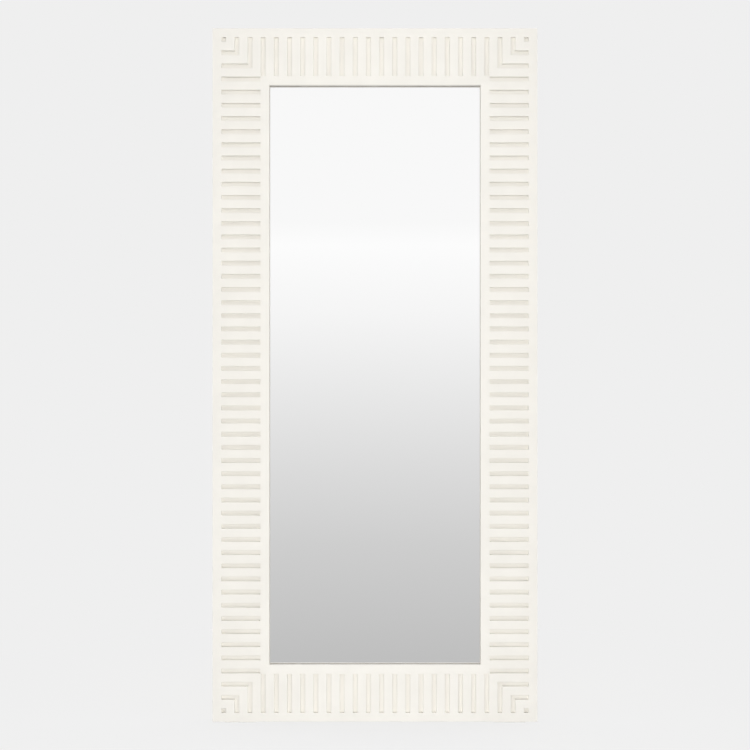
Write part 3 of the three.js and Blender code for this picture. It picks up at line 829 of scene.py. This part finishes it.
def makeWorld():
    # one room for each kind of light: an even grey surround for the eye, a dome that lights the object
    # from the sides and the back, and for reflections a wall that is grey at the floor and pale above
    world = bpy.data.worlds.new("studio")
    world.use_nodes = True
    tree = world.node_tree
    tree.nodes.clear()
    direction = addNode(tree, "ShaderNodeTexCoord")
    axes = addNode(tree, "ShaderNodeSeparateXYZ", {}, {"Vector": (direction, "Generated")})
    height = addNode(tree, "ShaderNodeMapRange", {}, {
        "Value": (axes, "Z"), "From Min": -studio["wallSpan"], "From Max": studio["wallSpan"],
        "To Min": 0.0, "To Max": 1.0})
    stops = []
    for place, level in studio["wallLevels"]:
        light = greyLevel(level) / studio["mirrorReturn"]
        stops.append((0.5 + 0.5 * place / studio["wallSpan"], (light, light, light, 1.0)))
    gradient = setRamp(addNode(tree, "ShaderNodeValToRGB", {}, {"Fac": (height, "Result")}), stops)
    wall = addNode(tree, "ShaderNodeBackground", {}, {"Color": (gradient, "Color"), "Strength": 1.0})
    seen = addNode(tree, "ShaderNodeBackground", {}, {
        "Color": hexColour(studio["surround"]), "Strength": 1.0})
    around = addNode(tree, "ShaderNodeMapRange", {}, {
        "Value": (axes, "Y"), "From Min": -1.0, "From Max": 1.0, "To Min": 0.0, "To Max": 1.0})
    domeStops = [(0.5 + 0.5 * place, (light, light, light, 1.0)) for place, light in studio["domeLevels"]]
    ring = setRamp(addNode(tree, "ShaderNodeValToRGB", {}, {"Fac": (around, "Result")}), domeStops)
    dome = addNode(tree, "ShaderNodeBackground", {}, {"Color": (ring, "Color"), "Strength": 1.0})
    path = addNode(tree, "ShaderNodeLightPath")
    lit = addNode(tree, "ShaderNodeMixShader", {}, {
        "Fac": (path, "Is Glossy Ray"), 1: (dome, "Background"), 2: (wall, "Background")})
    either = addNode(tree, "ShaderNodeMixShader", {}, {
        "Fac": (path, "Is Camera Ray"), 1: (lit, "Shader"), 2: (seen, "Background")})
    addNode(tree, "ShaderNodeOutputWorld", {}, {"Surface": (either, "Shader")})
    bpy.context.scene.world = world


# metres; beyond fadeEnd the floor is the surround, and nearer than fadeStart this share of it is matte
studioFloor = {"colour": "eeeeee", "reach": 3.2, "fadeStart": 0.3, "fadeEnd": 1.6, "matteShare": 0.25}


def makeFloor():
    # a pale floor that takes a faint shadow near the mirror and melts into the surround further out
    material, tree = newMaterial("pale studio floor")
    place = addNode(tree, "ShaderNodeTexCoord")
    far = addNode(tree, "ShaderNodeVectorMath", {"operation": "LENGTH"}, {0: (place, "Object")})
    fade = addNode(tree, "ShaderNodeMapRange", {"interpolation_type": "SMOOTHSTEP"}, {
        "Value": (far, "Value"), "From Min": studioFloor["fadeStart"], "From Max": studioFloor["fadeEnd"],
        "To Min": studioFloor["matteShare"], "To Max": 0.0})
    even = addNode(tree, "ShaderNodeEmission", {}, {"Color": hexColour(studio["surround"]), "Strength": 1.0})
    matte = addNode(tree, "ShaderNodeBsdfDiffuse", {}, {"Color": hexColour(studioFloor["colour"])})
    both = addNode(tree, "ShaderNodeMixShader", {}, {
        "Fac": (fade, "Result"), 1: (even, "Emission"), 2: (matte, "BSDF")})
    addNode(tree, "ShaderNodeOutputMaterial", {}, {"Surface": (both, "Shader")})
    bm = bmesh.new()
    bmesh.ops.create_circle(bm, cap_ends=True, segments=64, radius=studioFloor["reach"])
    floor = objectFromBmesh("studio_floor", bm, material)
    floor.visible_glossy = False
    floor.visible_diffuse = False
    floor.visible_shadow = False


# place, aim, size and watts
lamps = {"upper softbox": ((0, -1.6, 2.3), (0, 0, 1.5), (0.5, 0.4), 4.9),
         "lower softbox": ((0, -1.6, -0.3), (0, 0, 0.5), (0.5, 0.4), 5.2),
         "tall front strip": ((0, -4.6, 1.0), (0, 0, 1.0), (0.6, 2.0), 116)}


def makeAreaLight(name, place, aim, size, power):
    data = bpy.data.lights.new(name, "AREA")
    data.shape = "RECTANGLE"
    data.size, data.size_y = size
    data.energy = power
    lamp = bpy.data.objects.new(name, data)
    lamp.location = place
    lamp.rotation_euler = (Vector(aim) - Vector(place)).to_track_quat("-Z", "Y").to_euler()
    bpy.context.scene.collection.objects.link(lamp)
    lamp.visible_glossy = False
    lamp.visible_camera = False


def makeCamera():
    data = bpy.data.cameras.new("camera")
    data.sensor_width = studio["sensor"]
    data.lens = studio["sensor"] * studio["distance"] / studio["framed"]
    data.clip_end = studio["farthest"]
    camera = bpy.data.objects.new("camera", data)
    camera.location = (middleX, frontY - studio["distance"], middleZ)
    camera.rotation_euler = (math.pi / 2, 0, 0)
    bpy.context.scene.collection.objects.link(camera)
    bpy.context.scene.camera = camera


makeWorld()
makeFloor()
for name, setting in lamps.items():
    makeAreaLight(name, *setting)
makeCamera()
bpy.context.scene.view_settings.view_transform = "Standard"
print("studio made")
